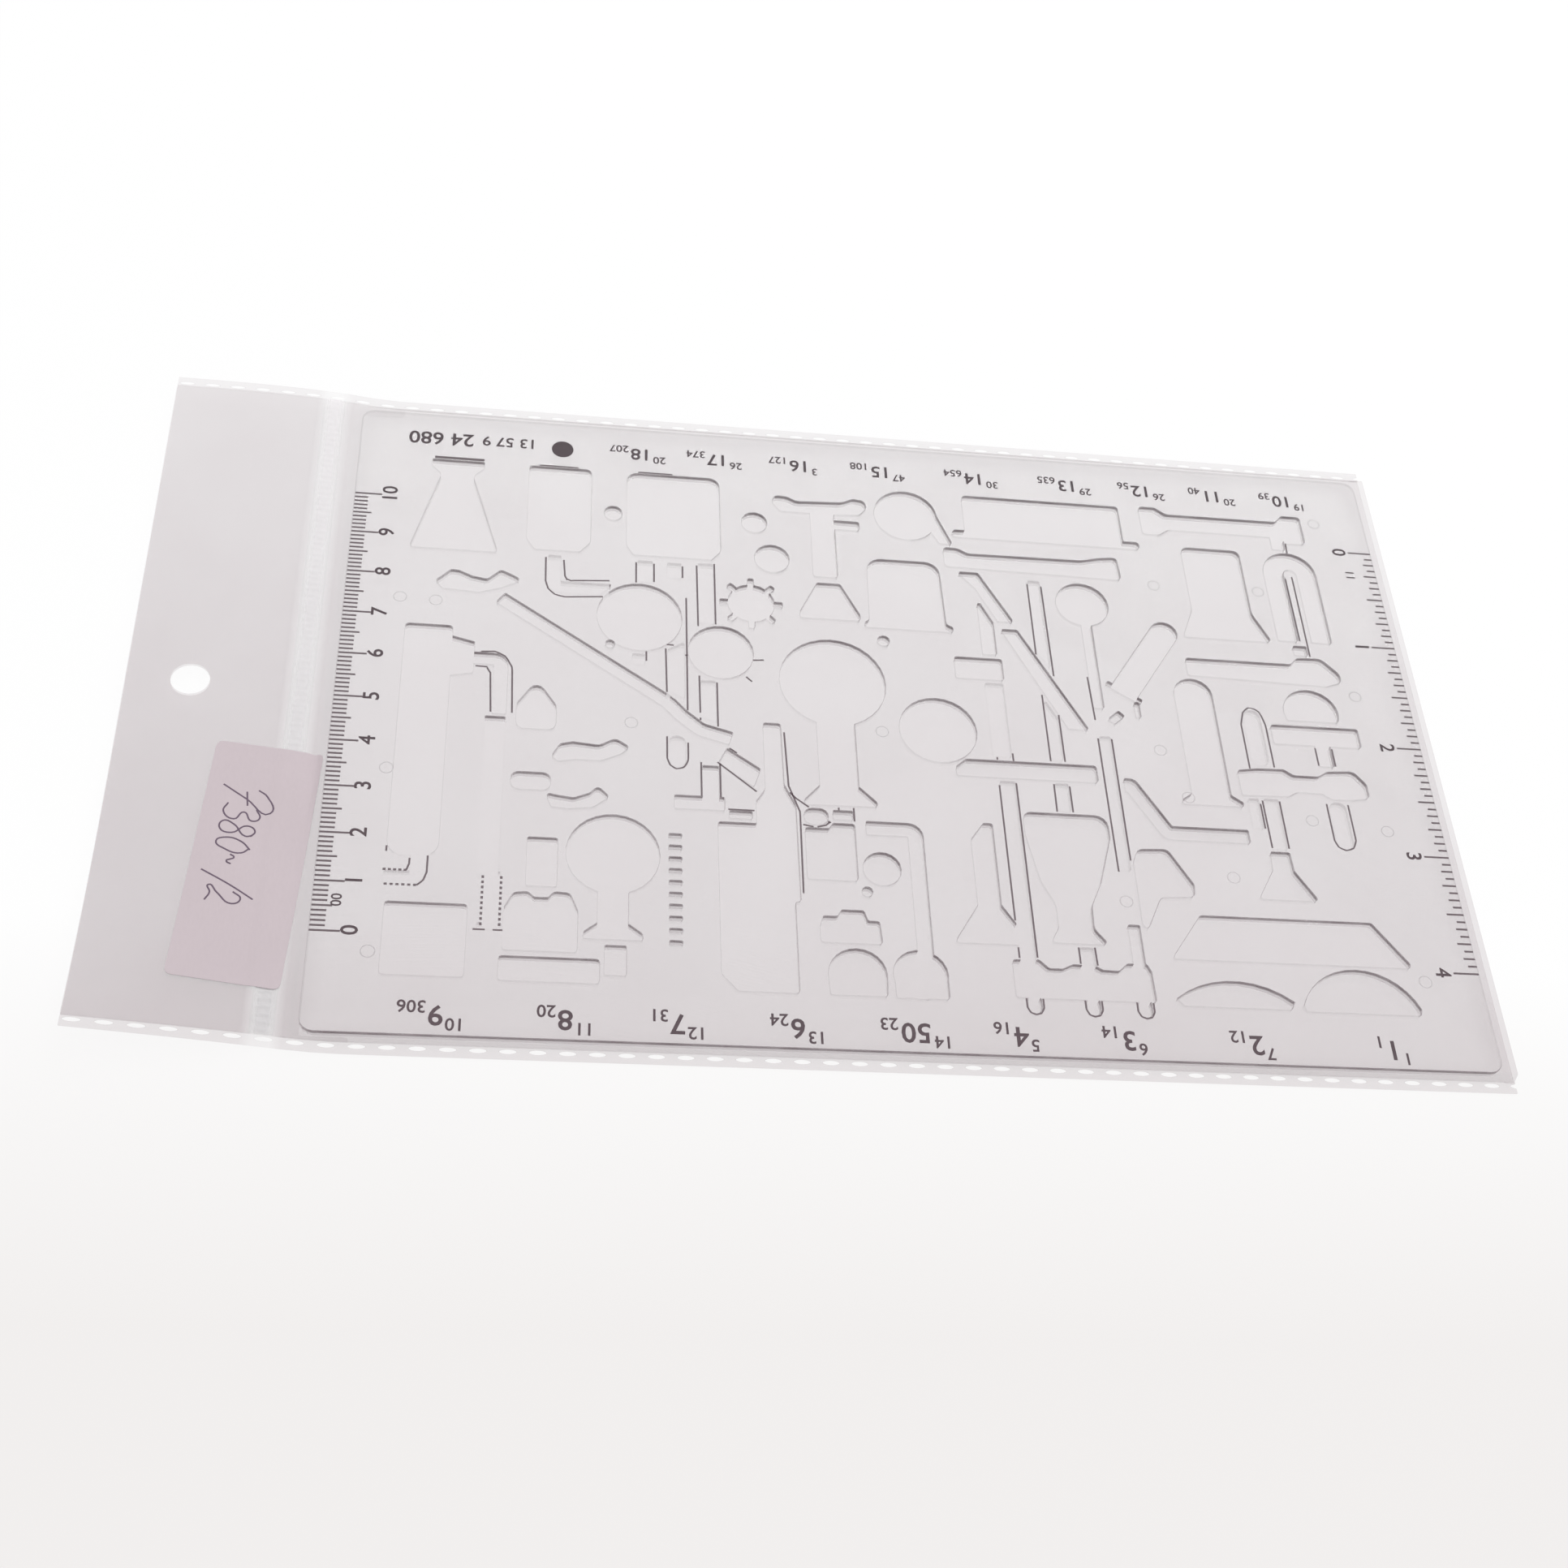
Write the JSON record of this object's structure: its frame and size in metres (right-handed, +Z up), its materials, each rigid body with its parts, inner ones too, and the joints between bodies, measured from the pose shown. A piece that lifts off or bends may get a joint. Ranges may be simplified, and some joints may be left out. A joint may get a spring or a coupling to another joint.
{
  "type": "apparatus stencil ruler in sleeve",
  "caption": "Clear flat drawing stencil with laboratory apparatus outlines and two edge scales, held in a clear film sleeve whose header folds and has a hang hole.",
  "frame": {"origin": "middle of the whole object's footprint, on the surface it lies on", "axes": "+X from the header towards the other end of the sleeve, +Y away from the viewer across the sleeve, +Z up from the surface"},
  "size_m": [0.2488, 0.1494, 0.0069],
  "materials": {
    "stencil_plastic": "clear moulded plastic with a faint warm grey tint",
    "sleeve_film": "thin clear glossy film",
    "fused_film": "clear film fused at a hot-cut seam",
    "crimped_film": "ribbed whitish heat seal",
    "label_paper": "matt pale pink paper"
  },
  "bodies": {
    "sleeve": {"sleeve_front_film": "sleeve_film", "sleeve_back_film": "sleeve_film", "sleeve_near_weld": "fused_film", "sleeve_far_weld": "fused_film"},
    "header": {"header_front_ply": "sleeve_film", "header_back_ply": "sleeve_film", "header_near_weld": "fused_film", "header_far_weld": "fused_film", "header_seal_band": "crimped_film", "price_label": "label_paper"},
    "ruler": {"template_plate": "stencil_plastic"}
  },
  "joints": [
    {"name": "header_fold", "type": "hinge", "parent": "sleeve", "child": "header", "pos_m": [-0.0895, 0, 0.0011], "axis": [0, 1, 0], "range_deg": [-90, 100], "stiffness_Nm_per_rad": 0.02},
    {"name": "template_slide", "type": "slide", "parent": "sleeve", "child": "ruler", "axis": [1, 0, 0], "range_m": [0, 0.2]}
  ]
}
